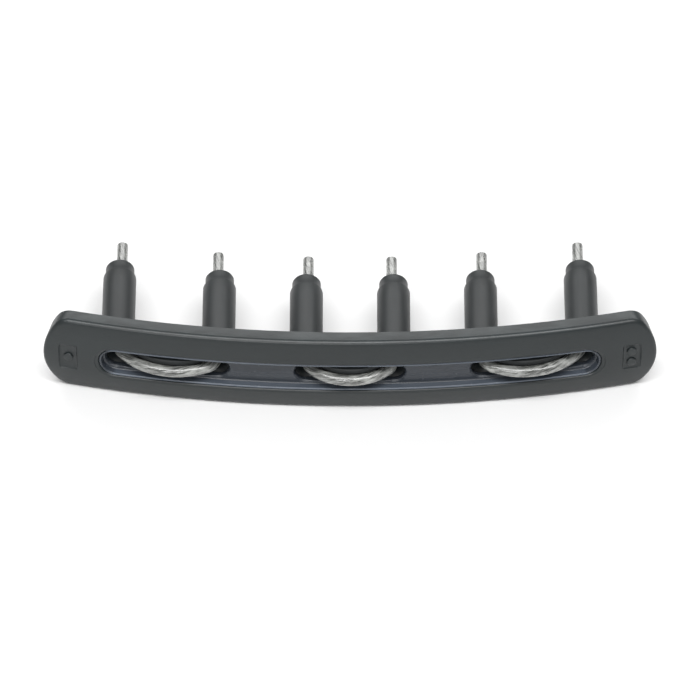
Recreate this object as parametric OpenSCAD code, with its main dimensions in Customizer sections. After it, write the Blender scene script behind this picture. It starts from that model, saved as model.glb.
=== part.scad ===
// Throat grommet strip of a tennis racket, with its damping insert and three string loops.
// The racket lies flat: X runs along the bridge, -Y points out of the bridge towards the
// handle, +Y points through the bridge towards the strings, and +Z is the racket's face side.
// The origin is on the curved seat, under the middle of the strip.

/* [Strip] */
// Length of the strip, straight from end to end
strip_len = 70; // [66:1:90]
// Width of the strip across the bridge
strip_w = 10; // [9:0.5:13]
// Radius of the bridge face that the strip sits on
seat_r = 139; // [110:1:200]
// Thickness of the strip on its centre line
mid_t = 2.5; // [2.3:0.1:3.5]
// Thickness of the strip at its long edges
edge_t = 1.7; // [1.2:0.1:2]
// Radius of the arc that closes each end
end_r = 7.2; // [6.5:0.1:12]
// Radius that blends each end arc into the long edges
corner_r = 2; // [0.5:0.1:3]

/* [Holes] */
// Distance between the two middle holes
mid_span = 10; // [8.5:0.5:13]
// Distance from a middle hole to the next hole outwards
land_span = 10; // [7:0.5:13]
// Distance between the two holes of an outer pair
outer_span = 11.5; // [9:0.5:12]
// Bore of every string hole
bore_d = 2; // [1.8:0.1:2.4]
// Diameter of the countersink round each hole
mouth_d = 2.9; // [2.4:0.1:3.2]
// Depth of that countersink
mouth_depth = 0.45; // [0.2:0.05:0.6]

/* [Channel and insert] */
// Width of the channel between the insert's lips
channel_w = 3.3; // [3:0.1:4.2]
// Height of the channel floor above the seat
floor_t = 1.4; // [1.2:0.05:1.6]
// Thickness of the insert's upstanding lips
lip_t = 0.3; // [0.2:0.05:0.5]
// How far the lips stay below the edge of the slot
lip_drop = 0.1; // [0.05:0.05:0.3]
// Width of the insert's flange behind the strip
flange_w = 6; // [5.2:0.1:7]
// Thickness of the insert's flange
flange_t = 0.7; // [0.5:0.05:0.8]

/* [Barrels] */
// Outside diameter of a barrel
barrel_d = 3.8; // [3.4:0.1:4.4]
// How much thicker a barrel's root is than the rest, on the diameter
root_step = 0.5; // [0.4:0.1:0.8]
// Length of the root beyond the seat
root_len = 1; // [0.8:0.1:1.5]
// Length of a barrel beyond the seat
barrel_len = 13.5; // [9:0.5:20]
// Diameter of a barrel at its tip
tip_d = 3.3; // [2.9:0.1:3.6]
// Length of the tapered tip
tip_len = 1.6; // [0.5:0.1:3]
// Chamfer on the bore's edge at the tip
tip_chamfer = 0.2; // [0.1:0.05:0.3]
// Thickness of the wall that is left round the flare at a barrel's top
flare_wall = 0.5; // [0.4:0.05:0.55]
// Depth of that flare
flare_depth = 0.75; // [0.6:0.05:1]

/* [Saddle pads] */
// Width of a saddle pad
pad_w = 2.5; // [2.1:0.1:2.8]
// How far the ends of a pad stay from the axes of their holes
pad_inset = 1.65; // [1.5:0.05:2]
// How deep the string lies in its pad
groove_depth = 0.3; // [0.1:0.05:0.5]

/* [Strings] */
// Diameter of the string
string_d = 1.3; // [1.1:0.05:1.4]
// Height of the string's centre over the edge of the slot, at the crown of a loop
string_rise = 0.25; // [0:0.05:0.6]
// How far a string leg lies from its hole's axis, towards its partner
leg_shift = 0.2; // [0:0.05:0.25]
// Bend radius of the string where it enters a hole
shoulder_r = 1.7; // [1.4:0.1:1.9]
// Angle that the crown of a loop turns before its shoulder starts
crown_angle = 44; // [40:1:55]
// Length of string left beyond each barrel
tail_len = 4; // [1:0.5:8]

/* [Marks] */
// Width of the sunk panel at each end
panel_w = 2.2; // [1.5:0.1:2.4]
// Height of the sunk panel across the strip
panel_h = 3.8; // [3:0.1:4.5]
// Depth of the sunk panel
panel_depth = 0.2; // [0.1:0.05:0.4]
// Distance from the strip's end to the panel's middle
panel_inset = 2.9; // [2.6:0.1:3.4]
// Diameter of a raised pip in a panel
pip_d = 1.1; // [0.8:0.1:1.3]
// Distance between two pips
pip_pitch = 1.6; // [1.4:0.1:1.8]

/* [Fits] */
// Gap between a string and everything that it passes
string_gap = 0.06; // [0.04:0.01:0.1]
// Gap round the insert, the pads and the barrels where they are seated
seat_gap = 0.02; // [0.01:0.01:0.05]

/* [Hidden] */
$fn = 64;
arc_fn = 720;
end_fn = 128;
pad_fn = 256;
string_sides = 16;
shoulder_steps = 6;
crown_steps = 14;
join_angle = 4;
spare = 2;
root_spare = 1;
reach = 40;

x_mid = mid_span / 2;
x_in = x_mid + land_span;
x_out = x_in + outer_span;
hole_x = [-x_out, -x_in, -x_mid, x_mid, x_in, x_out];

string_r = string_d / 2;
groove_r = string_r + string_gap;
slot_w = channel_w + 2 * lip_t;
crown_sag = mid_t - edge_t;
crown_r = (strip_w * strip_w / 4 + crown_sag * crown_sag) / (2 * crown_sag);
rim_t = mid_t - crown_r + sqrt(crown_r * crown_r - slot_w * slot_w / 4);
lip_top = rim_t - lip_drop;
root_r = (barrel_d + root_step) / 2;
socket_r = root_r + seat_gap;
flare_r = root_r - flare_wall;
crown_t = rim_t + string_rise;

slate = [0.24, 0.27, 0.28];
blue_slate = [0.29, 0.32, 0.36];
dark_slate = [0.2, 0.22, 0.23];
silver_grey = [0.72, 0.72, 0.71];

// Height of the seat at a place along the strip
function seat_y(x) = seat_r - sqrt(seat_r * seat_r - x * x);

// Sweeps a section round the seat, from a little before one end of the strip to a little
// past the other. The section is drawn as far from the axis as it lies from the seat's.
module swept() {
    half = asin((strip_len / 2 + spare) / seat_r);
    translate([0, seat_r, 0])
        rotate([0, 0, 270 - half])
            rotate_extrude(angle = 2 * half, $fn = arc_fn)
                children();
}

// A layer of the strip between two heights over the seat, across its whole width
module layer(low, high, width = 2 * strip_w) {
    swept()
        translate([seat_r + low, -width / 2])
            square([high - low, width]);
}

// The circle whose front side gives the strip its crown, sunk by a depth
module crown_circle(depth = 0) {
    translate([seat_r + mid_t - crown_r, 0])
        circle(r = crown_r - depth, $fn = arc_fn);
}

// The crowned section of the strip, swept round the seat
module crowned_layer() {
    width = strip_w + spare;
    swept()
        intersection() {
            translate([seat_r, -width / 2])
                square([mid_t + spare, width]);
            crown_circle();
        }
}

// Everything that lies above a surface sunk evenly under the crowned front
module panel_floor(depth) {
    swept()
        difference() {
            translate([seat_r + edge_t / 2, -strip_w / 2])
                square([mid_t, strip_w]);
            crown_circle(depth);
        }
}

// Stands a flat X-Z shape up along Y, through everything
module through() {
    translate([0, reach, 0])
        rotate([90, 0, 0])
            linear_extrude(height = 2 * reach)
                children();
}

// A round rod along Y, from y = low to y = high
module rod(x, low, high, r_low, r_high) {
    translate([x, low, 0])
        rotate([-90, 0, 0])
            cylinder(h = high - low, r1 = r_low, r2 = r_high);
}

// Outline of the strip: two long edges, two end arcs and four blended corners
module strip_outline() {
    end_x = strip_len / 2 - end_r;
    corner_z = strip_w / 2 - corner_r;
    corner_x = end_x + sqrt(pow(end_r - corner_r, 2) - corner_z * corner_z);
    wedge = 2 * end_r / (corner_x - end_x);
    square([2 * corner_x, strip_w], center = true);
    for (side = [-1, 1]) {
        for (edge = [-1, 1])
            translate([side * corner_x, edge * corner_z])
                circle(r = corner_r);
        intersection() {
            translate([side * end_x, 0])
                circle(r = end_r, $fn = end_fn);
            polygon([
                [side * end_x, 0],
                [side * (end_x + wedge * (corner_x - end_x)), wedge * corner_z],
                [side * (end_x + wedge * (corner_x - end_x)), -wedge * corner_z]
            ]);
        }
    }
}

// A slot with round ends on the axes of the two outermost holes
module slot_outline(width) {
    square([2 * x_out, width], center = true);
    for (side = [-1, 1])
        translate([side * x_out, 0])
            circle(d = width);
}

// Route of one string loop. side is -1, 0 or 1 for the left, the middle and the right pair.
// The crown is one arc over the saddle and a shoulder arc turns each end into its hole.
function first_leg(side) = (side == 0 ? -x_mid : x_in) + leg_shift;
function last_leg(side) = (side == 0 ? x_mid : x_out) - leg_shift;
function tilt(side) = asin((first_leg(side) + last_leg(side)) / 2 / (seat_r + crown_t));
function last_turn(side) = crown_angle + tilt(side);
function loop_r(side) =
    (last_leg(side) - shoulder_r - (seat_r + crown_t) * sin(tilt(side))
        + shoulder_r * sin(last_turn(side)))
    / (sin(last_turn(side)) - sin(tilt(side)));
function loop_x(side) = (seat_r + crown_t - loop_r(side)) * sin(tilt(side));
function loop_y(side) = seat_r - (seat_r + crown_t - loop_r(side)) * cos(tilt(side));
function first_turn(side) =
    asin((loop_x(side) - first_leg(side) - shoulder_r) / (loop_r(side) - shoulder_r));

// Stations along a loop, each as [x, y, angle of the cross-section]
function arc_stations(x, y, bend_r, from_angle, to_angle, steps) = [
    for (i = [0:steps])
        let (t = from_angle + (to_angle - from_angle) * i / steps)
            [x + bend_r * cos(t), y + bend_r * sin(t), t]
];
function shoulder_y(side, turn) = loop_y(side) - (loop_r(side) - shoulder_r) * cos(turn);
function loop_stations(side) = concat(
    [[first_leg(side), seat_y(first_leg(side)) + barrel_len + tail_len, 180]],
    arc_stations(first_leg(side) + shoulder_r, shoulder_y(side, first_turn(side)),
        shoulder_r, 180, 270 - join_angle - first_turn(side), shoulder_steps),
    arc_stations(loop_x(side), loop_y(side), loop_r(side),
        270 - first_turn(side), 270 + last_turn(side), crown_steps),
    arc_stations(last_leg(side) - shoulder_r, shoulder_y(side, last_turn(side)),
        shoulder_r, 270 + join_angle + last_turn(side), 360, shoulder_steps),
    [[last_leg(side), seat_y(last_leg(side)) + barrel_len + tail_len, 360]]
);

// One whole loop of string, swept along its stations
module loop_bar(side) {
    stations = loop_stations(side);
    n = string_sides;
    last = len(stations) - 1;
    points = [
        for (s = stations)
            for (k = [0:n - 1])
                let (out = string_r * cos(360 * k / n))
                    [s[0] + out * cos(s[2]), s[1] + out * sin(s[2]), string_r * sin(360 * k / n)]
    ];
    walls = [
        for (i = [0:last - 1])
            for (k = [0:n - 1])
                let (next = (k + 1) % n)
                    [i * n + k, i * n + next, (i + 1) * n + next, (i + 1) * n + k]
    ];
    first_cap = [for (k = [0:n - 1]) n - 1 - k];
    last_cap = [for (k = [0:n - 1]) last * n + k];
    polyhedron(points, concat([first_cap], walls, [last_cap]));
}

// Draws a thing of the right-hand pair, or its mirror image for the left-hand pair
module placed(side) {
    mirror([side < 0 ? 1 : 0, 0, 0])
        children();
}

// A sunk panel with one or two pips, which tells the two ends apart
module mark(side, pips) {
    x = side * (strip_len / 2 - panel_inset);
    difference() {
        translate([x - panel_w / 2, -reach / 2, -panel_h / 2])
            cube([panel_w, reach, panel_h]);
        for (i = [0:pips - 1])
            translate([x, 0, (i - (pips - 1) / 2) * pip_pitch])
                rotate([90, 0, 0])
                    cylinder(h = reach, d = pip_d, center = true);
    }
}

module cover_plate() {
    color(slate)
        difference() {
            intersection() {
                crowned_layer();
                through() strip_outline();
            }
            through() slot_outline(slot_w);
            intersection() {
                layer(-spare, flange_t);
                through() slot_outline(flange_w + 2 * seat_gap);
            }
            for (end = [[-1, 1], [1, 2]])
                intersection() {
                    mark(end[0], end[1]);
                    panel_floor(panel_depth);
                }
        }
}

module damping_core() {
    color(blue_slate)
        difference() {
            union() {
                intersection() {
                    layer(0, flange_t);
                    through() slot_outline(flange_w);
                }
                intersection() {
                    layer(0, lip_top);
                    through() slot_outline(slot_w - 2 * seat_gap);
                }
            }
            intersection() {
                layer(floor_t, mid_t + spare);
                through() slot_outline(channel_w);
            }
            for (side = [-1, 0, 1])
                pad_pocket(side);
            for (x = hole_x) {
                floor_y = seat_y(x) - floor_t;
                rod(x, floor_y - reach / 2, seat_y(x) + spare, bore_d / 2, bore_d / 2);
                rod(x, floor_y, floor_y + mouth_depth, mouth_d / 2, bore_d / 2);
            }
            intersection() {
                layer(-spare, flange_t);
                union() {
                    for (x = hole_x)
                        rod(x, seat_y(x) - reach / 2, seat_y(x) + spare, socket_r, socket_r);
                }
            }
        }
}

// Pocket in the channel floor between the two holes of a pair
module pad_pocket(side) {
    placed(side)
        intersection() {
            layer(flange_t, floor_t + spare, pad_w + 2 * seat_gap);
            pair_block(abs(side), 0);
        }
}

// A block that reaches from one hole axis of a pair to the other
module pair_block(side, inset) {
    low = (side == 0 ? -x_mid : x_in) + inset;
    high = (side == 0 ? x_mid : x_out) - inset;
    translate([low, -reach / 2, -strip_w / 2])
        cube([high - low, reach, strip_w]);
}

// A tube through the bridge. Its thicker root ends flush with the insert's flange, and a
// flare in the root makes room for the string's bend.
module barrel(i) {
    x = hole_x[i - 1];
    y = seat_y(x);
    outer = barrel_d / 2;
    bore = bore_d / 2;
    flare_slope = (flare_r - bore) / flare_depth;
    color(slate)
        difference() {
            translate([x, y, 0])
                rotate([-90, 0, 0])
                    rotate_extrude()
                        polygon([
                            [bore, -flange_t - root_spare],
                            [root_r, -flange_t - root_spare],
                            [root_r, root_len],
                            [outer, root_len],
                            [outer, barrel_len - tip_len],
                            [tip_d / 2, barrel_len],
                            [bore + tip_chamfer, barrel_len],
                            [bore, barrel_len - tip_chamfer]
                        ]);
            rod(x, y - flange_t - root_spare, y - flange_t + flare_depth,
                flare_r + flare_slope * root_spare, bore);
            layer(flange_t, mid_t + spare);
        }
}

// A hump under one loop, cut to a half-round groove along its crest
module saddle_pad(side) {
    bend_r = loop_r(abs(side));
    color(dark_slate)
        placed(side)
            difference() {
                intersection() {
                    layer(flange_t, mid_t + spare, pad_w);
                    pair_block(abs(side), pad_inset);
                    translate([loop_x(abs(side)), loop_y(abs(side)), -pad_w])
                        cylinder(h = 2 * pad_w, r = bend_r - string_r + groove_depth, $fn = pad_fn);
                }
                translate([loop_x(abs(side)), loop_y(abs(side)), 0])
                    rotate_extrude($fn = pad_fn)
                        translate([bend_r, 0])
                            circle(r = groove_r);
            }
}

module string_loop(side) {
    color(silver_grey)
        placed(side)
            loop_bar(abs(side));
}

cover_plate();
damping_core();
barrel(1);  // barrel_1
barrel(2);  // barrel_2
barrel(3);  // barrel_3
barrel(4);  // barrel_4
barrel(5);  // barrel_5
barrel(6);  // barrel_6
saddle_pad(-1);  // saddle_pad_left
saddle_pad(0);  // saddle_pad_centre
saddle_pad(1);  // saddle_pad_right
string_loop(-1);  // string_loop_left
string_loop(0);  // string_loop_centre
string_loop(1);  // string_loop_right
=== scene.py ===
"""Moulded throat grommet strip with a damping insert, string barrels and three string loops.

The frame gives the bodies and the boxes of the nodes. The strip is modelled flat, with X along
the strip, -Y outwards and Z across it, and is then bent round the seat. Lengths are in metres.
"""
import math

import bmesh
import bpy
from bpy.props import FloatProperty, FloatVectorProperty, IntProperty, PointerProperty
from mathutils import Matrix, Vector


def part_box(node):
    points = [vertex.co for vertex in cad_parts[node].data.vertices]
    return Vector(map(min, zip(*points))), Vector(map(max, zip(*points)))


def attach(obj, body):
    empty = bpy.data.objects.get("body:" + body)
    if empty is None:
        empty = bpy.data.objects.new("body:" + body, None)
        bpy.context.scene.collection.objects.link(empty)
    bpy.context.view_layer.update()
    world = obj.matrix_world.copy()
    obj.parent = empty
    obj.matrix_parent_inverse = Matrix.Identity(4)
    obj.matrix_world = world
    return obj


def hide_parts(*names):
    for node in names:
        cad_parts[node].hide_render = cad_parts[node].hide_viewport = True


bl_info = {
    "name": "Throat grommet strip",
    "version": (1, 0, 0),
    "blender": (4, 5, 0),
    "location": "3D View > Sidebar > Grommet",
    "description": "Builds a racket's throat grommet strip with its insert, barrels and strings",
    "category": "Add Mesh",
}

MM = 0.001
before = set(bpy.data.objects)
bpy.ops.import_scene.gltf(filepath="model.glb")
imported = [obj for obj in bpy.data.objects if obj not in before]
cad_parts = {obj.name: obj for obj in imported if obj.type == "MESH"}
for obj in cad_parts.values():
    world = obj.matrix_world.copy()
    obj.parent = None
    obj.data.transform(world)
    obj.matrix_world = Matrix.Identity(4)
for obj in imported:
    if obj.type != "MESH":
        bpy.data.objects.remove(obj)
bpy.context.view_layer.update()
PLATE_LOW, PLATE_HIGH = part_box("cover_plate")
LOOP_LOW, LOOP_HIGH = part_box("string_loop_centre")
BODY = "strip"
STRIP_MIDDLE = Vector((0, 4 * MM, 0))
TOUCH = 0.01 * MM  # places closer than this are on one level
CLEARANCE = 0.02 * MM  # between the insert and what it sits in
BEYOND = 1 * MM  # how far a cutting tool stands past what it cuts

PANEL_HALF_X, PANEL_HALF_Z = 1.1 * MM, 1.9 * MM
PANEL_DEPTH, PANEL_CORNER = 0.24 * MM, 0.35 * MM
PIP_R, PIP_FLARE, PIP_ROUND = 0.55 * MM, 0.03 * MM, 0.1 * MM
PIP_SPACING, PIP_BELOW_CROWN = 1.6 * MM, 0.05 * MM
# X, Z and radius of the round marks that the mould's ejectors leave on the back
EJECTOR_MARKS = [(side * x * MM, z * MM, radius * MM) for side in (-1, 1)
                 for x, z, radius in ((31.9, 0, 1.1), (10, 4, 0.6), (10, -4, 0.6),
                                      (20.75, 4, 0.6), (20.75, -4, 0.6))]
MARK_DEPTH, MARK_SLOPE = 0.1 * MM, 0.05 * MM

LIP_ROUND, CHANNEL_FILLET, WINDOW_ROUND = 0.13 * MM, 0.2 * MM, 0.14 * MM
MOUTH_DEPTH, MOUTH_R, MOUTH_FOOT_R = 0.45 * MM, 1.46 * MM, 1.12 * MM
BARREL_STEP = 0.25 * MM  # the root is this much wider than the shank, and the tip narrower
CHEEK_ROUND, GROOVE_ROOM = 0.16 * MM, 0.06 * MM


# ---------------------------------------------------------------- sizes and colours


def length(name, description, default):
    """A length in metres that a user may change."""
    return FloatProperty(name=name, description=description, default=default, unit="LENGTH",
                         precision=5)


def colour(name, description, default):
    """A linear colour that a user may change."""
    return FloatVectorProperty(name=name, description=description, default=default, size=3,
                               min=0, max=1, subtype="COLOR")


class StripSizes(bpy.types.PropertyGroup):
    """Sizes of the moulded strip and of what sits in it."""

    seat_r: length("Seat radius", "Radius of the bridge face under the strip", 139 * MM)
    half_length: length("Half length", "Half the strip's length", PLATE_HIGH[0])
    half_width: length("Half width", "Half the strip's width", PLATE_HIGH[2])
    mid_t: length("Middle thickness", "Thickness on the centre line", 2.5 * MM)
    edge_t: length("Edge thickness", "Thickness at the long edges", 1.7 * MM)
    end_r: length("End radius", "Radius of the arc that closes each end", 7.2 * MM)
    corner_r: length("Corner radius", "Blend between the end arcs and the edges", 2 * MM)
    edge_round: length("Edge rounding", "Rounding of the front edge", 0.4 * MM)
    slot_r: length("Slot half width", "Half the width of the slot", 1.95 * MM)
    slot_round: length("Slot rounding", "Rounding of the slot's front edge", 0.26 * MM)
    x_mid: length("Middle hole", "Place of a middle hole", 5 * MM)
    x_in: length("Inner hole", "Place of the inner hole of an outer pair", 15 * MM)
    x_out: length("Outer hole", "Place of the outermost hole", 26.5 * MM)
    channel_r: length("Channel half width", "Half the width between the lips", 1.65 * MM)
    floor_t: length("Floor height", "Height of the channel floor", 1.4 * MM)
    lip_top: length("Lip height", "Height of the insert's lips", 2.26 * MM)
    flange_r: length("Flange half width", "Half the width of the flange", 2.98 * MM)
    flange_t: length("Flange thickness", "Thickness of the flange", 0.7 * MM)
    bore_r: length("Bore radius", "Radius of a string hole", 1 * MM)
    window_r: length("Window half width", "Half the width of a string window", 1.27 * MM)
    barrel_r: length("Barrel radius", "Outside radius of a barrel", 1.9 * MM)
    barrel_len: length("Barrel length", "Length of a barrel past the seat", 13.5 * MM)
    panel_inset: length("Panel inset", "Distance from an end to its sunk panel", 2.9 * MM)


class StringSizes(bpy.types.PropertyGroup):
    """Sizes of the string loops and of the pads under them."""

    string_r: length("String radius", "Half the string's thickness", LOOP_HIGH[2])
    leg_shift: length("Leg shift", "How far a leg lies off its hole's axis", 0.2 * MM)
    shoulder_r: length("Shoulder radius", "Bend of the string into a hole", 1.7 * MM)
    crown_angle: FloatProperty(name="Crown angle", description="Turn of a loop's crown",
                               default=math.radians(44), unit="ROTATION")
    crown_t: length("Crown height", "Height of the string's centre over the seat",
                    -LOOP_LOW[1] - LOOP_HIGH[2])
    tail: length("Tail", "String left past a barrel", 4 * MM)
    groove_depth: length("Groove depth", "How deep the string lies in a pad", 0.3 * MM)
    pad_half: length("Pad half width", "Half the width of a pad", 1.25 * MM)
    pad_inset: length("Pad inset", "Distance from a hole's axis to its pad", 1.65 * MM)
    sides: IntProperty(name="Sides", description="Sides of the string's section", default=32)


class Finishes(bpy.types.PropertyGroup):
    """Colours of the materials."""

    shell: colour("Shell", "Moulded nylon of the strip", (0.0085, 0.0125, 0.0135))
    insert: colour("Insert", "Smooth elastomer of the insert", (0.031, 0.037, 0.046))
    barrel: colour("Barrel", "Nylon of the barrels", (0.011, 0.014, 0.015))
    pad: colour("Pad", "Elastomer of the saddle pads", (0.009, 0.011, 0.012))
    string: colour("String", "Coated string", (0.20, 0.205, 0.195))
    floor: colour("Floor", "Plain pale floor", (0.80, 0.80, 0.80))


def sizes():
    """The strip's sizes."""
    return bpy.context.scene.grommet_sizes


def strings():
    """The strings' and the pads' sizes."""
    return bpy.context.scene.grommet_strings


def finishes():
    """The colours of the materials."""
    return bpy.context.scene.grommet_finishes


# ---------------------------------------------------------------- modelling helpers


def object_mode():
    """Leaves edit mode and deselects everything."""
    active = bpy.context.object
    if active is not None and active.mode != "OBJECT":
        bpy.ops.object.mode_set(mode="OBJECT")
    bpy.ops.object.select_all(action="DESELECT")


def edit(piece):
    """Opens one piece in edit mode with all of it selected."""
    object_mode()
    piece.select_set(True)
    bpy.context.view_layer.objects.active = piece
    bpy.ops.object.mode_set(mode="EDIT")
    bpy.ops.mesh.select_all(action="SELECT")


def named(name):
    """Names the piece that an operator has just added and puts its place in its mesh."""
    piece = bpy.context.object
    piece.name = name
    piece.data.name = name
    bpy.ops.object.transform_apply(location=True, rotation=True, scale=True)
    return piece


def pick_points(piece, test):
    """Selects the points of the open piece whose place passes a test."""
    bpy.ops.mesh.select_mode(type="VERT")
    bpy.ops.mesh.select_all(action="DESELECT")
    mesh = bmesh.from_edit_mesh(piece.data)
    for point in mesh.verts:
        point.select = not point.hide and test(point.co)
    mesh.select_flush(True)
    bmesh.update_edit_mesh(piece.data)


def pick_edges(piece, test):
    """Selects the edges of the open piece whose two ends pass a test."""
    bpy.ops.mesh.select_mode(type="EDGE")
    bpy.ops.mesh.select_all(action="DESELECT")
    mesh = bmesh.from_edit_mesh(piece.data)
    for side in mesh.edges:
        side.select = test(side.verts[0].co, side.verts[1].co)
    mesh.select_flush(True)
    bmesh.update_edit_mesh(piece.data)


def move(offset):
    """Moves what is selected in the open piece."""
    bpy.ops.transform.translate(value=offset)


def outwards():
    """Merges doubles and turns the faces of the open piece outwards."""
    bpy.ops.mesh.select_mode(type="VERT")
    bpy.ops.mesh.reveal()
    bpy.ops.mesh.select_all(action="SELECT")
    bpy.ops.mesh.remove_doubles(threshold=0.0005 * MM)
    bpy.ops.mesh.normals_make_consistent(inside=False)


def apply_modifier(piece, kind, **settings):
    """Adds a modifier to a piece, sets it and applies it."""
    object_mode()
    piece.select_set(True)
    bpy.context.view_layer.objects.active = piece
    modifier = piece.modifiers.new(kind.title(), kind)
    for key, value in settings.items():
        setattr(modifier, key, value)
    bpy.ops.object.modifier_apply(modifier=modifier.name)


def combine(piece, tool, operation="DIFFERENCE"):
    """Cuts, joins or trims a piece with a tool, and removes the tool."""
    apply_modifier(piece, "BOOLEAN", operation=operation, object=tool, solver="EXACT")
    bpy.data.objects.remove(tool)


def slice_along(piece, axis, places):
    """Cuts a piece across one axis at each place, so that it can bend there."""
    edit(piece)
    normal = [0, 0, 0]
    normal[axis] = 1
    for place in places:
        at = [0, 0, 0]
        at[axis] = place
        bpy.ops.mesh.select_all(action="SELECT")
        bpy.ops.mesh.bisect(plane_co=at, plane_no=normal)
    object_mode()


def bend(piece):
    """Bends a flat piece round the seat. Its back, at y = 0, keeps its length."""
    xs = [point.co.x for point in piece.data.vertices]
    apply_modifier(piece, "SIMPLE_DEFORM", deform_method="BEND", deform_axis="Z",
                   angle=(max(xs) - min(xs)) / sizes().seat_r)


def smooth(piece, degrees):
    """Shades a piece smooth where its faces meet at less than an angle."""
    object_mode()
    piece.select_set(True)
    bpy.context.view_layer.objects.active = piece
    bpy.ops.object.shade_smooth_by_angle(angle=math.radians(degrees))


def turned(name, rings, count, closed=False):
    """A round piece on the Y axis, drawn out ring by ring. Each ring is (radius, y).

    In a closed one the last ring meets the first, so that it is a tube and not solid.
    """
    object_mode()
    radius, level = rings[0]
    fill = "NOTHING" if closed else "NGON"
    bpy.ops.mesh.primitive_circle_add(
        vertices=count, radius=radius, fill_type=fill, location=(0, level, 0),
        rotation=(math.pi / 2, math.pi / count, 0))
    piece = named(name)
    edit(piece)
    for next_radius, next_level in rings[1:]:
        bpy.ops.mesh.extrude_region_move(
            TRANSFORM_OT_translate={"value": (0, next_level - level, 0)})
        grow = next_radius / radius
        bpy.ops.transform.resize(value=(grow, 1, grow), center_override=(0, next_level, 0))
        radius, level = next_radius, next_level
    outwards()
    object_mode()
    return piece


def stretched(piece, half):
    """Pulls the two halves of a round piece apart along X, which makes it a slot shape."""
    edit(piece)
    pick_points(piece, lambda co: co.x > 0)
    move((half, 0, 0))
    pick_points(piece, lambda co: co.x < 0)
    move((-half, 0, 0))
    object_mode()
    return piece


def quarter(radius, level, size, steps, outward, rising):
    """Rings of a rounded edge from (radius, level). The last two are signs, for its two ways."""
    rings = []
    for i in range(steps + 1):
        t = math.pi / 2 * i / steps
        rings.append((radius + outward * size * (1 - math.cos(t)),
                      level + rising * size * math.sin(t)))
    return rings


def block(name, low, high):
    """A block between two corners."""
    object_mode()
    low, high = Vector(low), Vector(high)
    bpy.ops.mesh.primitive_cube_add(size=1, location=(low + high) / 2, scale=high - low)
    return named(name)


def flat_s(x, height):
    """Where a place on the bent strip lies while the strip is flat."""
    radius = sizes().seat_r
    return radius * math.asin(x / (radius + height))


def seat_y(x):
    """The seat's height at a place along the strip."""
    radius = sizes().seat_r
    return radius - math.sqrt(radius * radius - x * x)


def spread(low, high, step):
    """Evenly spaced places between two limits, about one step apart."""
    count = max(1, round((high - low) / step))
    return [low + (high - low) * i / count for i in range(count + 1)]


# ---------------------------------------------------------------- materials


class Link:
    """One output in a material's tree. Expressions on links add their Math nodes."""

    def __init__(self, tree, socket=None):
        self.tree = tree
        self.socket = socket

    def node(self, kind, settings=None, inputs=None, out=0):
        """Adds a node: its settings first, then the values or links of its sockets."""
        made = self.tree.nodes.new("ShaderNode" + kind)
        for key, value in (settings or {}).items():
            setattr(made, key, value)
        for key, value in (inputs or {}).items():
            if isinstance(value, Link):
                self.tree.links.new(value.socket, made.inputs[key])
            elif hasattr(value, "__len__") and len(made.inputs[key].default_value) == 4:
                made.inputs[key].default_value = (*value[:3], 1)
            else:
                made.inputs[key].default_value = value
        return Link(self.tree, made.outputs[out] if made.outputs else None)

    def maths(self, operation, *values):
        """Adds a Math node."""
        return self.node("Math", {"operation": operation}, dict(enumerate(values)))

    def __add__(self, other):
        return self.maths("ADD", self, other)

    __radd__ = __add__

    def __sub__(self, other):
        return self.maths("SUBTRACT", self, other)

    def __rsub__(self, other):
        return self.maths("SUBTRACT", other, self)

    def __mul__(self, other):
        return self.maths("MULTIPLY", self, other)

    __rmul__ = __mul__

    def __abs__(self):
        return self.maths("ABSOLUTE", self)

    def step(self, low, high):
        """A soft step from 0 at low to 1 at high."""
        return self.node("MapRange", {"interpolation_type": "SMOOTHSTEP"},
                         {0: self, 1: low, 2: high})

    def mixed(self, low, high):
        """A colour between two, by this link."""
        return self.node("Mix", {"data_type": "RGBA"}, {0: self, 6: low, 7: high}, out=2)

    def noise(self, scale, detail=2, stretch=(1, 1, 1)):
        """Noise over this vector, with features of about 1 / scale metres."""
        place = self.node("Mapping", None, {"Vector": self, "Scale": stretch})
        return self.node("TexNoise", None,
                         {"Vector": place, "Scale": scale, "Detail": detail})

    def axes(self):
        """The three parts of this vector."""
        parts = self.node("SeparateXYZ", None, {0: self})
        return [Link(self.tree, parts.socket.node.outputs[i]) for i in range(3)]


def tint(shade, factor):
    """A colour made lighter or darker."""
    return tuple(min(1, part * factor) for part in shade)


def finish_of(name, build):
    """A material by name, made on its first use."""
    found = bpy.data.materials.get(name)
    if found is None:
        found = bpy.data.materials.new(name)
        found.use_nodes = True
        found.node_tree.nodes.clear()
        root = Link(found.node_tree)
        place = root.node("TexCoord", out="Object")
        surface = build(root, place)
        root.node("OutputMaterial", None, {"Surface": surface})
    return found


def bump(root, height, depth, strength):
    """A normal bent by a height."""
    return root.node("Bump", None, {"Height": height, "Distance": depth, "Strength": strength})


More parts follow.
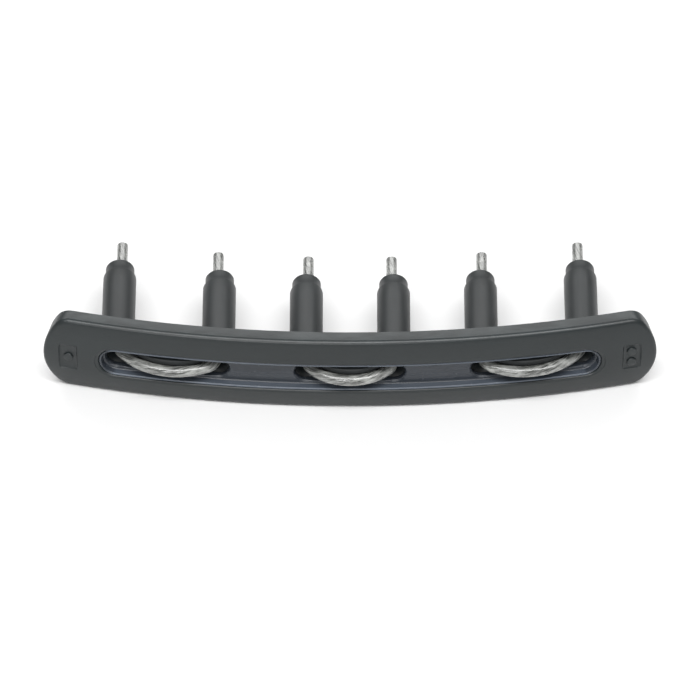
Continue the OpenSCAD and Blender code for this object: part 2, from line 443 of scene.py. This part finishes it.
def shell_finish(root, place):
    """Moulded slate nylon: spark texture, flow marks, scuffs and paler worn edges."""
    shade = tuple(finishes().shell)
    z = place.axes()[2]
    spark = place.noise(5200, 3)
    cloud = place.noise(90, 3)
    flow = place.noise(260, 4, (0.35, 1, 1.6))
    scuff = place.noise(420, 6, (0.12, 1, 3.2)).step(0.64, 0.74)
    rim = abs(z).step(4.55 * MM, 4.95 * MM) * place.noise(700, 4, (0.4, 1, 1)).step(0.38, 0.66)
    body = (cloud.step(0.3, 0.7) * 0.6 + flow.step(0.3, 0.7) * 0.4).mixed(
        tint(shade, 0.84), tint(shade, 1.16))
    worn = (rim * 0.55 + scuff * 0.16).mixed(body, tint(shade, 2.1))
    grain = bump(root, spark * 0.7 + flow * 0.3, 0.022 * MM, 0.55)
    return root.node("BsdfPrincipled", None, {
        "Base Color": worn, "Roughness": 0.32 + spark * 0.12 - rim * 0.06 + scuff * 0.08,
        "Normal": grain, "IOR": 1.52})


def insert_finish(root, place):
    """Smooth elastomer: a slight sheen, fine pitting, wiped dust and a painted highlight along
    both lips.
    """
    shade = tuple(finishes().insert)
    pit = place.noise(7600, 2)
    smear = place.noise(330, 5, (0.2, 1, 2.4))
    dust = place.noise(1500, 6).step(0.66, 0.78)
    # Painted highlight: a mask over both lips, where a line of light is painted into the colour
    lips = abs(place.axes()[2]).step(1.60 * MM, 1.70 * MM)
    body = smear.step(0.3, 0.72).mixed(tint(shade, 0.84), tint(shade, 1.18))
    # rubbed holds the colour with the lips painted up to 3.6 times paler: a painted highlight
    rubbed = (lips * (0.45 + smear * 0.5)).mixed(body, tint(shade, 3.6))
    dust_and_lip_highlight = (dust * 0.22).mixed(rubbed, tint(shade, 3.0))
    return root.node("BsdfPrincipled", None, {
        "Base Color": dust_and_lip_highlight, "Roughness": 0.20 + smear * 0.14 + dust * 0.2,
        "Normal": bump(root, pit * 0.4 + smear * 0.6, 0.016 * MM, 0.4),
        "IOR": 1.5})


def barrel_finish(root, place):
    """Drawn nylon: faint lengthwise marks from the mould's cores, and dull flats."""
    shade = tuple(finishes().barrel)
    draw = place.noise(2400, 4, (1, 0.05, 1))
    spark = place.noise(6000, 2)
    cloud = place.noise(240, 3)
    body = (cloud.step(0.3, 0.7) * 0.5 + draw.step(0.3, 0.7) * 0.5).mixed(
        tint(shade, 0.8), tint(shade, 1.3))
    return root.node("BsdfPrincipled", None, {
        "Base Color": body, "Roughness": 0.36 + draw * 0.18,
        "Normal": bump(root, draw * 0.6 + spark * 0.4, 0.02 * MM, 0.5), "IOR": 1.52})


def pad_finish(root, place):
    """Matt dark elastomer, rubbed a little smoother under the string."""
    shade = tuple(finishes().pad)
    pit = place.noise(5200, 4)
    cloud = place.noise(500, 3)
    rubbed = 1 - abs(place.axes()[2]).step(0.45 * MM, 0.75 * MM)
    body = cloud.step(0.3, 0.7).mixed(tint(shade, 0.8), tint(shade, 1.35))
    return root.node("BsdfPrincipled", None, {
        "Base Color": body, "Roughness": 0.58 + pit * 0.14 - rubbed * 0.2,
        "Normal": bump(root, pit, 0.02 * MM, 0.5), "IOR": 1.48})


def string_finish(root, place):
    """Coated string: filaments twisted round the core show through a glossy, clear coat, with
    painted glints in bright specks.
    """
    shade = tuple(finishes().string)
    along, round_it, _ = root.node("UVMap", {"uv_map": "Length"}).axes()
    twists, across, lengthwise, filaments = 3, 2.2, 26, 16
    turn = (round_it + along * twists) * (2 * math.pi)
    strand = root.node("CombineXYZ", None, {
        0: root.maths("COSINE", turn) * across, 1: root.maths("SINE", turn) * across,
        2: along * lengthwise})
    coarse = root.node("TexNoise", None, {"Vector": strand, "Scale": 1.0, "Detail": 4.0})
    fine = root.maths("SINE", turn * filaments) * 0.5 + 0.5
    filament = coarse.step(0.36, 0.64) * 0.8 + fine * 0.2
    # Painted highlight: bright specks of painted glints, lifting the base colour towards white
    glint_mask = place.noise(900, 5, (0.6, 1, 1)).step(0.52, 0.70)
    body = filament.mixed(tint(shade, 0.30), tint(shade, 1.6))
    body_with_glints = (glint_mask * 0.5).mixed(body, tint(shade, 3.0))
    return root.node("BsdfPrincipled", None, {
        "Base Color": body_with_glints, "Roughness": 0.20 + filament * 0.16,
        "Normal": bump(root, filament, 0.03 * MM, 0.6), "IOR": 1.53,
        "Coat Weight": 1.0, "Coat Roughness": 0.05, "Transmission Weight": 0.25})


def floor_finish(root, place):
    """Plain pale floor with a faint mottle."""
    shade = tuple(finishes().floor)
    cloud = place.noise(6, 2)
    return root.node("BsdfPrincipled", None, {
        "Base Color": cloud.mixed(tint(shade, 0.99), tint(shade, 1.01)), "Roughness": 0.7})


def dress(piece, name, build):
    """Gives a piece its one material."""
    piece.data.materials.clear()
    piece.data.materials.append(finish_of(name, build))


def fit(piece, node, body=BODY):
    """Puts a finished piece in the frame in the place of its node."""
    if not piece.data.polygons:
        raise RuntimeError(f"{piece.name} has no faces left")
    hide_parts(node)
    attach(piece, body)


# ---------------------------------------------------------------- the strip


def hole_places():
    """The X of the six string holes."""
    strip = sizes()
    return [-strip.x_out, -strip.x_in, -strip.x_mid, strip.x_mid, strip.x_in, strip.x_out]


def window_places():
    """The two hole axes that each window joins, by side."""
    strip = sizes()
    return {"left": (-strip.x_out, -strip.x_in), "centre": (-strip.x_mid, strip.x_mid),
            "right": (strip.x_in, strip.x_out)}


def join(pieces):
    """Joins several pieces into the first one."""
    object_mode()
    for piece in pieces:
        piece.select_set(True)
    bpy.context.view_layer.objects.active = pieces[0]
    bpy.ops.object.join()
    return pieces[0]


def flat_outline():
    """The strip's flat slab, up to the thickness of its long edges.

    It is stretched over the two end arcs and over the four rounds that blend them in.
    """
    strip = sizes()
    levels = [0, -strip.edge_t]
    centre = flat_s(strip.half_length, strip.mid_t) - strip.end_r
    reach = strip.end_r - strip.corner_r
    corner_z = strip.half_width - strip.corner_r
    corner_x = math.sqrt(reach ** 2 - corner_z ** 2)
    slab = stretched(turned("cover_plate_body", [(strip.end_r, y) for y in levels], 192), centre)
    edit(slab)
    short = 0.15 * MM  # keeps the trimmed discs inside the four rounds
    sliver = 0.06 * MM
    trim = corner_z * strip.end_r / reach - short
    for side in (-1, 1):
        bpy.ops.mesh.select_all(action="SELECT")
        bpy.ops.mesh.bisect(plane_co=(0, 0, side * trim), plane_no=(0, 0, side),
                            clear_outer=True, use_fill=True)
    bpy.ops.mesh.select_all(action="SELECT")
    bpy.ops.mesh.remove_doubles(threshold=sliver)
    object_mode()
    corners = []
    for x in (-centre - corner_x, centre + corner_x):
        for z in (-corner_z, corner_z):
            corner = turned("corner", [(strip.corner_r, y) for y in levels], 96)
            edit(corner)
            move((x, 0, z))
            corners.append(corner)
    join([slab, *corners])
    edit(slab)
    bpy.ops.mesh.convex_hull()
    for side in (-1, 1):
        pick_points(slab, lambda co: side * (co.y + strip.edge_t / 2) > 0)
        bpy.ops.mesh.dissolve_faces()
    outwards()
    object_mode()
    return slab


def round_front(piece, size, segments):
    """Rounds the sharp edges round a flat front."""
    front = min(point.co.y for point in piece.data.vertices)
    edit(piece)
    pick_edges(piece, lambda a, b: a.y < front + TOUCH and b.y < front + TOUCH)
    bpy.ops.mesh.bevel(offset=size, segments=segments, profile=0.5, clamp_overlap=False)
    outwards()
    object_mode()


def crown(piece):
    """Raises the middle of the flat front, falling to nothing at the long edges."""
    strip = sizes()
    edit(piece)
    back_zone = -0.2 * MM
    pick_points(piece, lambda co: co.y > back_zone)
    bpy.ops.mesh.hide(unselected=False)
    pick_points(piece, lambda co: abs(co.z) < TOUCH and co.y < TOUCH - strip.edge_t)
    bpy.ops.transform.translate(
        value=(0, strip.edge_t - strip.mid_t, 0), use_proportional_edit=True,
        proportional_edit_falloff="INVERSE_SQUARE", proportional_size=strip.half_width)
    bpy.ops.mesh.reveal()
    object_mode()


def slot_cutter():
    """The slot, its rebate for the flange and its rounded front edge, still flat."""
    strip = sizes()
    crown_drop = 0.12 * MM  # how much lower the crowned front is at the slot's edge
    rim = strip.mid_t - crown_drop
    rebate = strip.flange_r + CLEARANCE
    rings = [(rebate, BEYOND), (rebate, -strip.flange_t), (strip.slot_r, -strip.flange_t)]
    rings += quarter(strip.slot_r, strip.slot_round - rim, strip.slot_round, 5, 1, -1)
    rings += [(strip.slot_r + 1.6 * strip.slot_round, -rim - 0.05 * MM),
              (strip.slot_r + 3 * strip.slot_round, -rim - BEYOND)]
    cutter = stretched(turned("slot", rings, 96), flat_s(strip.x_out, strip.floor_t))
    slice_along(cutter, 0, spread(-25.5 * MM, 25.5 * MM, 0.9 * MM))
    return cutter


def panel_cutter(side, pips):
    """A sunk panel near one end, with its raised round pips left standing."""
    strip = sizes()
    at = side * flat_s(strip.half_length - strip.panel_inset, strip.mid_t)
    cutter = block("panel", (at - PANEL_HALF_X, -strip.mid_t - BEYOND, -PANEL_HALF_Z),
                   (at + PANEL_HALF_X, -strip.mid_t + PANEL_DEPTH, PANEL_HALF_Z))
    edit(cutter)
    pick_edges(cutter, lambda a, b: abs(a.y - b.y) > BEYOND)
    bpy.ops.mesh.bevel(offset=PANEL_CORNER, segments=5, profile=0.5)
    outwards()
    object_mode()
    for i in range(pips):
        top = PIP_BELOW_CROWN - strip.mid_t
        shoulder = top + 0.08 * MM
        pip = turned("pip", [(PIP_R + PIP_FLARE, top + BEYOND), (PIP_R, shoulder)]
                     + quarter(PIP_R, shoulder, PIP_ROUND, 4, -1, -1)[1:], 40)
        edit(pip)
        move((at, 0, (i - (pips - 1) / 2) * PIP_SPACING))
        object_mode()
        combine(cutter, pip)
    return cutter


class MESH_OT_grommet_plate(bpy.types.Operator):
    """Moulded cover plate: crowned, slotted, with a sunk panel at each end"""

    bl_idname = "mesh.grommet_plate"
    bl_label = "Cover plate"

    def execute(self, context):
        strip = sizes()
        plate = flat_outline()
        round_front(plate, strip.edge_round, 6)
        end = flat_s(strip.half_length, strip.mid_t)
        half = strip.half_width
        slice_along(plate, 2, spread(-half, half, half / 12)[1:-1])
        slice_along(plate, 0, spread(-end, end, 0.8 * MM)[1:-1])
        crown(plate)
        combine(plate, slot_cutter())
        for side, pips in ((-1, 1), (1, 2)):
            combine(plate, panel_cutter(side, pips))
        for x, z, radius in EJECTOR_MARKS:
            rings = [(radius, BEYOND), (radius, MARK_SLOPE - MARK_DEPTH),
                     (radius - 0.06 * MM, -MARK_DEPTH)]
            mark = turned("mark", rings, 40)
            edit(mark)
            move((x, 0, z))
            object_mode()
            combine(plate, mark)
        bend(plate)
        edit(plate)
        outwards()
        smooth(plate, 38)
        dress(plate, "Slate nylon", shell_finish)
        fit(plate, "cover_plate")
        return {"FINISHED"}


def tilt_rings(piece, x, levels):
    """Moves a round piece to a hole and lays its rings at these levels along the seat."""
    edit(piece)
    move((x, seat_y(x), 0))
    angle = math.asin(x / sizes().seat_r)
    same_ring = 0.004 * MM
    for level in sorted(set(levels)):
        y = seat_y(x) + level
        pick_points(piece, lambda co: abs(co.y - y) < same_ring)
        bpy.ops.transform.rotate(value=-angle, orient_axis="Z", center_override=(x, y, 0))
    object_mode()


def hole_cutter(x):
    """A string hole: the barrel's socket, the bore and its countersunk mouth."""
    strip = sizes()
    socket_r = strip.barrel_r + BARREL_STEP + CLEARANCE
    seated = strip.flange_t + 0.04 * MM
    mouth = strip.floor_t - MOUTH_DEPTH
    rings = [(socket_r, -seated), (strip.bore_r, -seated), (strip.bore_r, -mouth),
             (MOUTH_FOOT_R, -mouth - 0.08 * MM), (MOUTH_R, -strip.floor_t - 0.03 * MM),
             (MOUTH_R + TOUCH, -strip.floor_t - 0.35 * MM)]
    cutter = turned("hole", [(socket_r, 4 * MM), *rings], 64)
    tilt_rings(cutter, x, [level for _, level in rings])
    return cutter


def window_cutter(low, high):
    """The pocket between a pair of holes, with a rounded rim, bent like the strip."""
    strip = sizes()
    level = (strip.floor_t + strip.flange_t) / 2
    a, b = flat_s(low, level), flat_s(high, level)
    rim = WINDOW_ROUND - strip.floor_t
    open_r = strip.window_r + 0.2 * MM
    rings = [(strip.window_r, -strip.flange_t),
             *quarter(strip.window_r, rim, WINDOW_ROUND, 4, 1, -1),
             (open_r, -strip.floor_t - 0.02 * MM), (open_r, -strip.floor_t - 0.5 * MM)]
    cutter = stretched(turned("window", rings, 64), (b - a) / 2)
    slice_along(cutter, 0, spread(-(b - a) / 2, (b - a) / 2, MM)[1:-1])
    edit(cutter)
    move(((a + b) / 2, 0, 0))
    object_mode()
    return cutter


class MESH_OT_grommet_core(bpy.types.Operator):
    """Elastomer insert: flange, channel between two lips, windows and countersunk holes"""

    bl_idname = "mesh.grommet_core"
    bl_label = "Damping core"

    def execute(self, context):
        strip = sizes()
        wall = strip.slot_r - CLEARANCE
        shoulder = LIP_ROUND - strip.lip_top
        rings = [(strip.flange_r, 0), (strip.flange_r, -strip.flange_t), (wall, -strip.flange_t)]
        rings += quarter(wall, shoulder, LIP_ROUND, 4, -1, -1)
        rings += reversed(quarter(strip.channel_r, shoulder, LIP_ROUND, 4, 1, -1))
        rings += [(strip.channel_r - CHANNEL_FILLET * (1 - math.cos(t)),
                   -strip.floor_t - CHANNEL_FILLET * (1 - math.sin(t)))
                  for t in spread(0, math.pi / 2, 0.4)]
        core = turned("damping_core_body", rings, 96)
        core = stretched(core, flat_s(strip.x_out, strip.floor_t))
        slice_along(core, 0, spread(-26.2 * MM, 26.2 * MM, 0.8 * MM))
        for low, high in window_places().values():
            combine(core, window_cutter(low, high))
        bend(core)
        apply_modifier(core, "TRIANGULATE")
        for x in hole_places():
            combine(core, hole_cutter(x))
        edit(core)
        outwards()
        smooth(core, 38)
        dress(core, "Smooth elastomer", insert_finish)
        fit(core, "damping_core")
        return {"FINISHED"}


class MESH_OT_grommet_barrels(bpy.types.Operator):
    """Six string barrels, modelled once and copied to the holes"""

    bl_idname = "mesh.grommet_barrels"
    bl_label = "Barrels"

    def execute(self, context):
        strip = sizes()
        root_r, tip_r = strip.barrel_r + BARREL_STEP, strip.barrel_r - BARREL_STEP
        long = strip.barrel_len
        top = -strip.flange_t
        rings = [(1.65 * MM, top), (root_r - 0.08 * MM, top), (root_r, top + 0.08 * MM),
                 (root_r, 0.75 * MM), (root_r - 0.07 * MM, 0.92 * MM), (strip.barrel_r, 1.1 * MM)]
        rings += [(strip.barrel_r, y * MM) for y in (2.5, 4, 6, 8, 10)]
        rings += [(strip.barrel_r, 11.7 * MM), (strip.barrel_r - 0.04 * MM, 11.86 * MM),
                  (tip_r + 0.05 * MM, 11.98 * MM), (tip_r, 12.1 * MM), (tip_r, long - 0.3 * MM)]
        rings += quarter(tip_r, long - 0.2 * MM, 0.2 * MM, 5, -1, 1)
        rings += [(strip.bore_r + 0.2 * MM, long), (strip.bore_r + 0.06 * MM, long - 0.07 * MM),
                  (strip.bore_r, long - 0.24 * MM), (strip.bore_r, 6 * MM),
                  (strip.bore_r, 0.1 * MM),
                  (1.3 * MM, -0.3 * MM), (1.5 * MM, -0.53 * MM), (1.65 * MM, top)]
        model = turned("barrel_body", rings, 64, closed=True)
        for i, x in enumerate(hole_places()):
            object_mode()
            model.select_set(True)
            bpy.context.view_layer.objects.active = model
            bpy.ops.object.duplicate()
            barrel = named(f"barrel_{i + 1}_body")
            tilt_rings(barrel, x, (top, top + 0.08 * MM))
            edit(barrel)
            outwards()
            smooth(barrel, 38)
            dress(barrel, "Barrel nylon", barrel_finish)
            fit(barrel, f"barrel_{i + 1}")
        bpy.data.objects.remove(model)
        return {"FINISHED"}


# ---------------------------------------------------------------- strings and pads


def loop_shape(side):
    """Legs, centre, radius and turns of one loop on the right half of the strip."""
    cord, strip = strings(), sizes()
    if side == "centre":
        first_leg = -strip.x_mid + cord.leg_shift
        last_leg = strip.x_mid - cord.leg_shift
    else:
        first_leg = strip.x_in + cord.leg_shift
        last_leg = strip.x_out - cord.leg_shift
    crown_r = strip.seat_r + cord.crown_t
    tilt = math.asin((first_leg + last_leg) / 2 / crown_r)
    last_turn = cord.crown_angle + tilt
    radius = ((last_leg - cord.shoulder_r - crown_r * math.sin(tilt)
               + cord.shoulder_r * math.sin(last_turn))
              / (math.sin(last_turn) - math.sin(tilt)))
    x = (crown_r - radius) * math.sin(tilt)
    y = strip.seat_r - (crown_r - radius) * math.cos(tilt)
    first_turn = math.asin((x - first_leg - cord.shoulder_r) / (radius - cord.shoulder_r))
    return {"first_leg": first_leg, "last_leg": last_leg, "radius": radius, "x": x, "y": y,
            "tilt": tilt, "first_turn": first_turn, "last_turn": last_turn}


def arc(x, y, radius, start, end, step):
    """Places along an arc, from one angle to another."""
    return [(x + radius * math.cos(a), y + radius * math.sin(a))
            for a in spread(start, end, step / radius)]


def loop_route(side):
    """The middle line of one loop: a leg, a shoulder, the crown, a shoulder and a leg."""
    cord, strip = strings(), sizes()
    loop = loop_shape(side)
    bend_r, step = cord.shoulder_r, 0.22 * MM
    places = []
    for leg, turn, sign in ((loop["first_leg"], loop["first_turn"], 1),
                            (loop["last_leg"], loop["last_turn"], -1)):
        y = loop["y"] - (loop["radius"] - bend_r) * math.cos(turn)
        end = seat_y(leg) + strip.barrel_len + cord.tail
        straight = [(leg, place) for place in spread(end, y, 0.7 * MM)]
        quarter_turn = math.pi / 2 - turn
        if sign > 0:
            bent = arc(leg + bend_r, y, bend_r, math.pi, math.pi + quarter_turn, step)
            places += straight + bent[1:]
            places += arc(loop["x"], loop["y"], loop["radius"],
                          1.5 * math.pi - turn, 1.5 * math.pi + loop["last_turn"], step)[1:]
        else:
            bent = arc(leg - bend_r, y, bend_r, -quarter_turn, 0, step)
            places += bent[1:] + straight[::-1][1:]
    return places


def swept_string(name, places):
    """A round string along a flat route, with a map that runs along and round it."""
    cord = strings()
    object_mode()
    bpy.ops.curve.primitive_bezier_curve_add()
    curve = bpy.context.object
    curve.name = name
    line = curve.data
    line.splines.clear()
    path = line.splines.new("POLY")
    path.points.add(len(places) - 1)
    for point, (x, y) in zip(path.points, places):
        point.co = (x, y, 0, 1)
    line.bevel_depth = cord.string_r
    line.bevel_resolution = cord.sides // 4 - 1
    line.use_fill_caps = True
    bpy.ops.object.convert(target="MESH")
    piece = bpy.context.object
    piece.data.name = name
    return piece


def map_length(piece, places):
    """Writes the string's own map: U along the middle line, V round the section, from 0 to 1."""
    lengths = [0.0]
    for (ax, ay), (bx, by) in zip(places, places[1:]):
        lengths.append(lengths[-1] + math.hypot(bx - ax, by - ay))
    whole = lengths[-1]
    mesh = piece.data
    while mesh.uv_layers:
        mesh.uv_layers.remove(mesh.uv_layers[0])
    layer = mesh.uv_layers.new(name="Length")
    spots = []
    for point in mesh.vertices:
        x, y, z = point.co
        near = min(range(len(places)),
                   key=lambda i: (places[i][0] - x) ** 2 + (places[i][1] - y) ** 2)
        before = places[max(near - 1, 0)]
        after = places[min(near + 1, len(places) - 1)]
        run = Vector((after[0] - before[0], after[1] - before[1])).normalized()
        off = Vector((x - places[near][0], y - places[near][1]))
        spots.append((lengths[near] / whole, math.atan2(z, run.cross(off)) / (2 * math.pi)))
    for face in mesh.polygons:
        turns = [spots[mesh.loops[i].vertex_index][1] for i in face.loop_indices]
        wraps = max(turns) - min(turns) > 0.5
        for i in face.loop_indices:
            u, v = spots[mesh.loops[i].vertex_index]
            layer.data[i].uv = (u, v + 1 if wraps and v < 0 else v)


class MESH_OT_grommet_strings(bpy.types.Operator):
    """Three string loops: each leaves one barrel, crosses its saddle and enters the next"""

    bl_idname = "mesh.grommet_strings"
    bl_label = "String loops"

    def execute(self, context):
        for side in ("left", "centre", "right"):
            places = loop_route(side)
            if side == "left":
                places = [(-x, y) for x, y in reversed(places)]
            loop = swept_string(f"string_loop_{side}_body", places)
            edit(loop)
            outwards()
            object_mode()
            map_length(loop, places)
            smooth(loop, 50)
            dress(loop, "Coated string", string_finish)
            fit(loop, f"string_loop_{side}", f"loop_{side}")
        return {"FINISHED"}


def pad_rings(disc_r, loop_r):
    """Rings of a grooved disc, whose groove holds the string."""
    cord = strings()
    groove_r = cord.string_r + GROOVE_ROOM
    cheek = [(disc_r - CHEEK_ROUND * (1 - math.sin(t)),
              -cord.pad_half + CHEEK_ROUND * (1 - math.cos(t)))
             for t in spread(0, math.pi / 2, 0.4)]
    rise = loop_r - disc_r
    start = math.atan2(math.sqrt(groove_r ** 2 - rise ** 2), rise)
    groove = [(loop_r - groove_r * math.cos(t), groove_r * math.sin(t))
              for t in spread(-start, start, 0.2)]
    return [*cheek, *groove, *((radius, -level) for radius, level in reversed(cheek))]


class MESH_OT_grommet_pads(bpy.types.Operator):
    """Three saddle pads: grooved round cushions under the string loops"""

    bl_idname = "mesh.grommet_pads"
    bl_label = "Saddle pads"

    def execute(self, context):
        cord, strip = strings(), sizes()
        for side, (low, high) in window_places().items():
            loop = loop_shape(side)
            disc_r = loop["radius"] - (cord.string_r - cord.groove_depth)
            pad = turned(f"saddle_pad_{side}_body", pad_rings(disc_r, loop["radius"]), 200)
            edit(pad)
            bpy.ops.transform.rotate(value=math.pi / 2, orient_axis="X",
                                     center_override=(0, 0, 0))
            sign = -1 if side == "left" else 1
            move((sign * loop["x"], loop["y"], 0))
            object_mode()
            lean = sign * loop["tilt"]
            foot_r = strip.seat_r + strip.flange_t
            foot = (foot_r * math.sin(lean), strip.seat_r - foot_r * math.cos(lean), 0)
            tall, wide = 6 * MM, 2 * MM
            room = block("room", (low + cord.pad_inset, -tall, -wide),
                         (high - cord.pad_inset, tall, wide))
            edit(room)
            bpy.ops.mesh.bisect(plane_co=foot, plane_no=(-math.sin(lean), math.cos(lean), 0),
                                clear_outer=True, use_fill=True)
            outwards()
            object_mode()
            combine(pad, room, "INTERSECT")
            edit(pad)
            bpy.ops.mesh.remove_doubles(threshold=0.02 * MM)
            outwards()
            object_mode()
            apply_modifier(pad, "BEVEL", width=0.07 * MM, segments=3, limit_method="ANGLE",
                           angle_limit=math.radians(50))
            smooth(pad, 40)
            dress(pad, "Pad elastomer", pad_finish)
            fit(pad, f"saddle_pad_{side}")
        return {"FINISHED"}


# ---------------------------------------------------------------- stage


def soft_light(name, place, size, power):
    """A soft rectangular light that faces the strip."""
    object_mode()
    bpy.ops.object.light_add(type="AREA", location=place)
    lamp = bpy.context.object
    lamp.name = name
    lamp.data.shape = "RECTANGLE"
    lamp.data.size, lamp.data.size_y = size
    lamp.data.energy = power
    towards = STRIP_MIDDLE - Vector(place)
    lamp.rotation_euler = towards.to_track_quat("-Z", "Y").to_euler()


class SCENE_OT_grommet_stage(bpy.types.Operator):
    """Pale floor, soft studio light and the camera"""

    bl_idname = "scene.grommet_stage"
    bl_label = "Stage"

    def execute(self, context):
        object_mode()
        bpy.ops.mesh.primitive_plane_add(size=3, location=(0, 0, PLATE_LOW[2]))
        floor = named("floor")
        dress(floor, "Pale floor", floor_finish)

        scene = context.scene
        scene.view_settings.view_transform = "Standard"
        world = bpy.data.worlds.new("Studio")
        world.use_nodes = True
        world.node_tree.nodes["Background"].inputs["Color"].default_value = (1, 1, 1, 1)
        world.node_tree.nodes["Background"].inputs["Strength"].default_value = 0.36
        scene.world = world
        soft_light("overhead", (0.0, -0.13, 0.36), (0.5, 0.14), 1.65)
        soft_light("back", (0.0, 0.45, 0.42), (0.9, 0.2), 2.0)
        soft_light("front", (-0.10, -0.50, 0.32), (0.26, 0.08), 0.9)

        elevation, distance = math.radians(43), 0.81
        aim = Vector((0, 0.0035, -0.001))
        back = Vector((0, -math.cos(elevation), math.sin(elevation)))
        bpy.ops.object.camera_add(location=aim + back * distance)
        camera = context.object
        camera.name = "camera"
        camera.rotation_euler = (-back).to_track_quat("-Z", "Y").to_euler()
        camera.data.lens = 365
        camera.data.clip_start, camera.data.clip_end = 0.05, 10
        scene.camera = camera
        return {"FINISHED"}


# ---------------------------------------------------------------- add-on


class VIEW3D_PT_grommet(bpy.types.Panel):
    """Builds the pieces of the strip"""

    bl_idname = "VIEW3D_PT_grommet"
    bl_label = "Grommet strip"
    bl_space_type = "VIEW_3D"
    bl_region_type = "UI"
    bl_category = "Grommet"

    def draw(self, context):
        for step in STEPS:
            self.layout.operator(step.bl_idname)


STEPS = (SCENE_OT_grommet_stage, MESH_OT_grommet_plate, MESH_OT_grommet_core,
         MESH_OT_grommet_barrels, MESH_OT_grommet_pads, MESH_OT_grommet_strings)
GROUPS = {"grommet_sizes": StripSizes, "grommet_strings": StringSizes,
          "grommet_finishes": Finishes}


def register():
    for kind in (*GROUPS.values(), *STEPS, VIEW3D_PT_grommet):
        bpy.utils.register_class(kind)
    for name, kind in GROUPS.items():
        setattr(bpy.types.Scene, name, PointerProperty(type=kind))


def unregister():
    for name in GROUPS:
        delattr(bpy.types.Scene, name)
    for kind in reversed((*GROUPS.values(), *STEPS, VIEW3D_PT_grommet)):
        bpy.utils.unregister_class(kind)


def main():
    register()
    bpy.ops.scene.grommet_stage()
    bpy.ops.mesh.grommet_plate()
    bpy.ops.mesh.grommet_core()
    bpy.ops.mesh.grommet_barrels()
    bpy.ops.mesh.grommet_pads()
    bpy.ops.mesh.grommet_strings()


if __name__ == "__main__":
    main()
